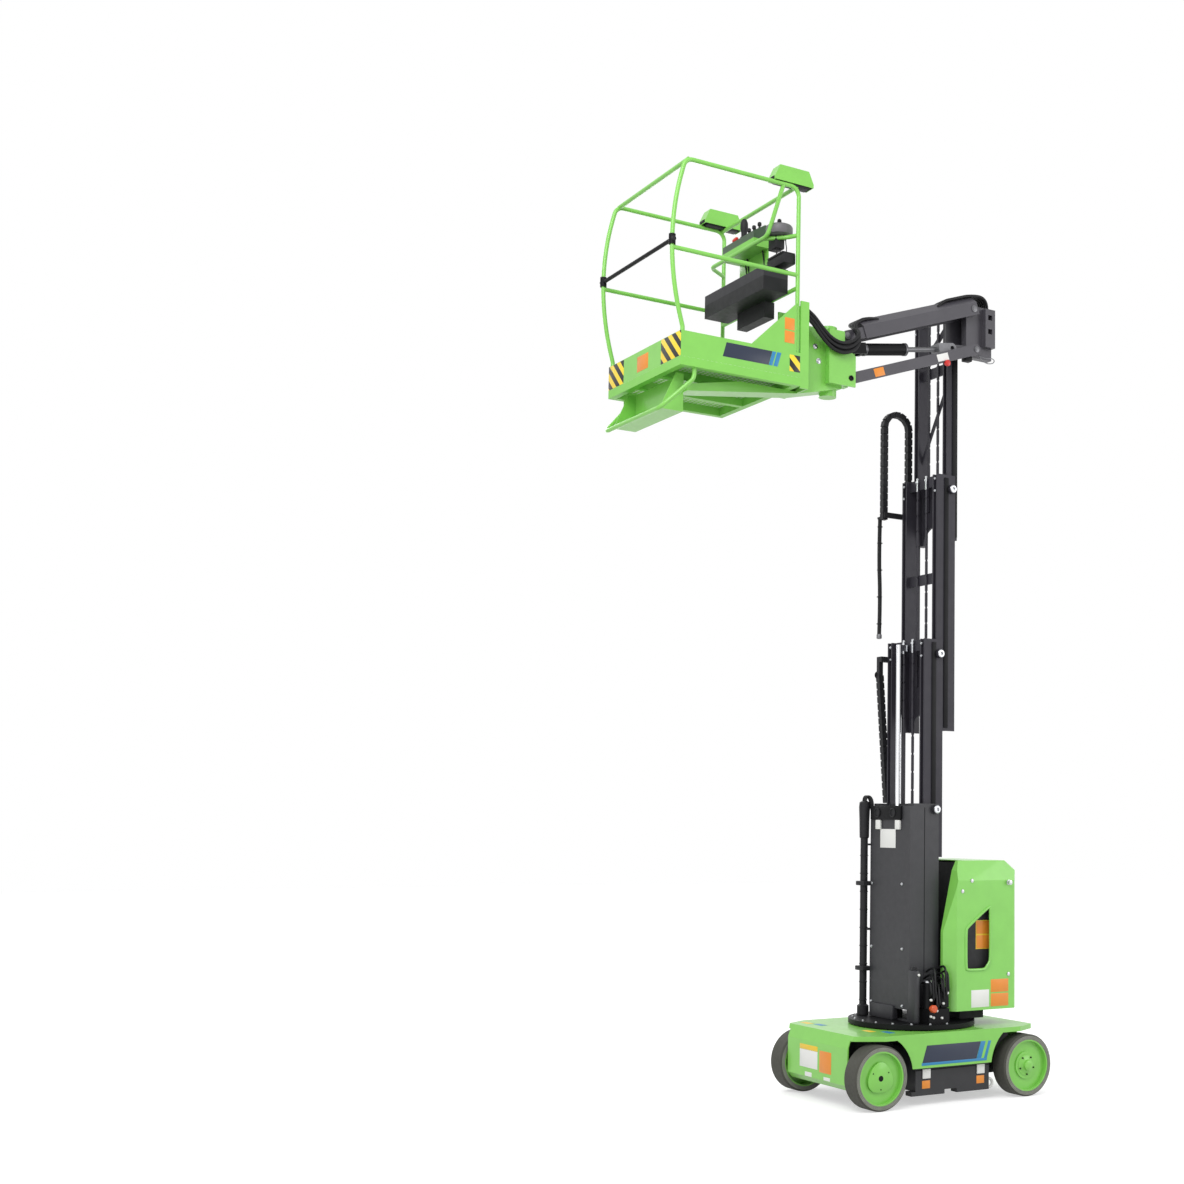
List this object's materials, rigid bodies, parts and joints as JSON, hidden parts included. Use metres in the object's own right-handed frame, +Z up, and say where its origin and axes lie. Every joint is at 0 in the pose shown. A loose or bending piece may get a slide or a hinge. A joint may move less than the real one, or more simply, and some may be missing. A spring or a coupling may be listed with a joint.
{
  "type": "vertical mast lift",
  "caption": "Wheeled vertical mast lift with a turntable, telescoping mast, short parallel jib and railed basket.",
  "frame": {"origin": "bottom centre of the whole machine's box, on the floor it is parked on", "axes": "+X forward from the mast to the basket, +Y to the machine's left, +Z up"},
  "size_m": [2.82, 0.956, 5.5849],
  "materials": {
    "chassis_green": "satin paint",
    "frame_green": "satin paint",
    "hood_green": "moulded satin",
    "mast_grey": "satin paint",
    "black_metal": "satin paint",
    "ballast_iron": "rough paint",
    "bare_steel": "machined",
    "rod_chrome": "polished",
    "tyre_grey": "non-marking rubber",
    "rim_green": "satin paint",
    "black_plastic": "moulded"
  },
  "bodies": {
    "chassis": {"chassis_frame": "ballast_iron", "chassis_cover": "chassis_green", "side_boxes": "black_metal", "pothole_guards": "black_metal", "front_axle": "black_metal", "rear_axle": "black_metal", "slew_bearing": "bare_steel"},
    "knuckle_left": {"knuckle_left": "black_metal"},
    "knuckle_right": {"knuckle_right": "black_metal"},
    "turntable": {"turntable_plate": "black_metal", "mast_base": "mast_grey", "mast_cover": "mast_grey", "lift_cylinder": "black_metal", "hose_guide": "black_plastic", "pump_unit": "black_metal", "power_pack": "ballast_iron", "hood": "hood_green"},
    "stage_1": {"stage_first": "mast_grey", "lift_rod": "rod_chrome", "hose_ladder": "black_plastic"},
    "stage_2": {"stage_second": "mast_grey", "hose_loop": "black_plastic"},
    "stage_3": {"stage_third": "mast_grey", "jib_head": "mast_grey"},
    "jib_beam": {"jib_beam": "mast_grey"},
    "jib_link": {"jib_link": "mast_grey"},
    "jib_barrel": {"jib_cylinder": "black_metal"},
    "jib_rod": {"jib_rod": "rod_chrome"},
    "basket": {"basket_mount": "frame_green", "basket_floor": "frame_green", "toe_boards": "frame_green", "basket_rails": "frame_green", "entry_step": "frame_green", "step_hoop": "frame_green", "control_box": "black_metal", "tool_tray": "black_plastic", "lamp_visors": "frame_green", "cable_box": "black_plastic"},
    "gate": {"gate_bar": "black_metal"},
    "wheel_front_left": {"tyre_front_left": "tyre_grey", "rim_front_left": "rim_green"},
    "wheel_front_right": {"tyre_front_right": "tyre_grey", "rim_front_right": "rim_green"},
    "wheel_rear_left": {"tyre_rear_left": "tyre_grey", "rim_rear_left": "rim_green"},
    "wheel_rear_right": {"tyre_rear_right": "tyre_grey", "rim_rear_right": "rim_green"}
  },
  "joints": [
    {"name": "roll_front_left", "type": "hinge", "parent": "chassis", "child": "wheel_front_left", "pos_m": [-0.0995, 0.4145, 0.1905], "axis": [0, 1, 0], "continuous": true},
    {"name": "roll_front_right", "type": "hinge", "parent": "chassis", "child": "wheel_front_right", "pos_m": [-0.0995, -0.4145, 0.1905], "axis": [0, 1, 0], "continuous": true},
    {"name": "roll_rear_left", "type": "hinge", "parent": "knuckle_left", "child": "wheel_rear_left", "pos_m": [-1.2195, 0.4145, 0.1905], "axis": [0, 1, 0], "continuous": true},
    {"name": "roll_rear_right", "type": "hinge", "parent": "knuckle_right", "child": "wheel_rear_right", "pos_m": [-1.2195, -0.4145, 0.1905], "axis": [0, 1, 0], "continuous": true},
    {"name": "steer_left", "type": "hinge", "parent": "chassis", "child": "knuckle_left", "pos_m": [-1.2195, 0.29, 0.1905], "axis": [0, 0, 1], "range_deg": [-40, 40]},
    {"name": "steer_right", "type": "hinge", "parent": "chassis", "child": "knuckle_right", "pos_m": [-1.2195, -0.29, 0.1905], "axis": [0, 0, 1], "range_deg": [-40, 40]},
    {"name": "slew", "type": "hinge", "parent": "chassis", "child": "turntable", "pos_m": [-0.6595, 0, 0.437], "axis": [0, 0, 1], "range_deg": [-172.5, 172.5]},
    {"name": "mast_1", "type": "slide", "parent": "turntable", "child": "stage_1", "axis": [0, 0, 1], "range_m": [-0.9, 0.15]},
    {"name": "mast_2", "type": "slide", "parent": "stage_1", "child": "stage_2", "axis": [0, 0, 1], "range_m": [-0.9, 0.15]},
    {"name": "mast_3", "type": "slide", "parent": "stage_2", "child": "stage_3", "axis": [0, 0, 1], "range_m": [-0.9, 0.15]},
    {"name": "jib", "type": "hinge", "parent": "stage_3", "child": "jib_beam", "pos_m": [-0.8745, 0.286, 5.025], "axis": [0, 1, 0], "range_deg": [-50, 30]},
    {"name": "link", "type": "hinge", "parent": "stage_3", "child": "jib_link", "pos_m": [-0.8745, 0.286, 4.748], "axis": [0, 1, 0], "range_deg": [-50, 30]},
    {"name": "level", "type": "hinge", "parent": "jib_beam", "child": "basket", "pos_m": [0.1155, 0.286, 4.669], "axis": [0, 1, 0], "range_deg": [-30, 50]},
    {"name": "cylinder_swing", "type": "hinge", "parent": "basket", "child": "jib_barrel", "pos_m": [0.0655, 0.286, 4.607], "axis": [0, 1, 0], "range_deg": [-60, 36]},
    {"name": "rod_slide", "type": "slide", "parent": "jib_barrel", "child": "jib_rod", "axis": [-0.9858, 0, 0.1681], "range_m": [-0.1022, 0.1703]},
    {"name": "gate", "type": "hinge", "parent": "basket", "child": "gate", "pos_m": [-0.21, 0, 4.981], "axis": [0, -1, 0], "range_deg": [0, 14]}
  ],
  "couplings": [
    {"joint": "steer_right", "follows": "steer_left", "ratio": 1},
    {"joint": "mast_2", "follows": "mast_1", "ratio": 1},
    {"joint": "mast_3", "follows": "mast_1", "ratio": 1},
    {"joint": "link", "follows": "jib", "ratio": 1},
    {"joint": "level", "follows": "jib", "ratio": -1},
    {"joint": "cylinder_swing", "follows": "jib", "ratio": 1.2},
    {"joint": "rod_slide", "follows": "jib", "m_per_rad": -0.195}
  ]
}
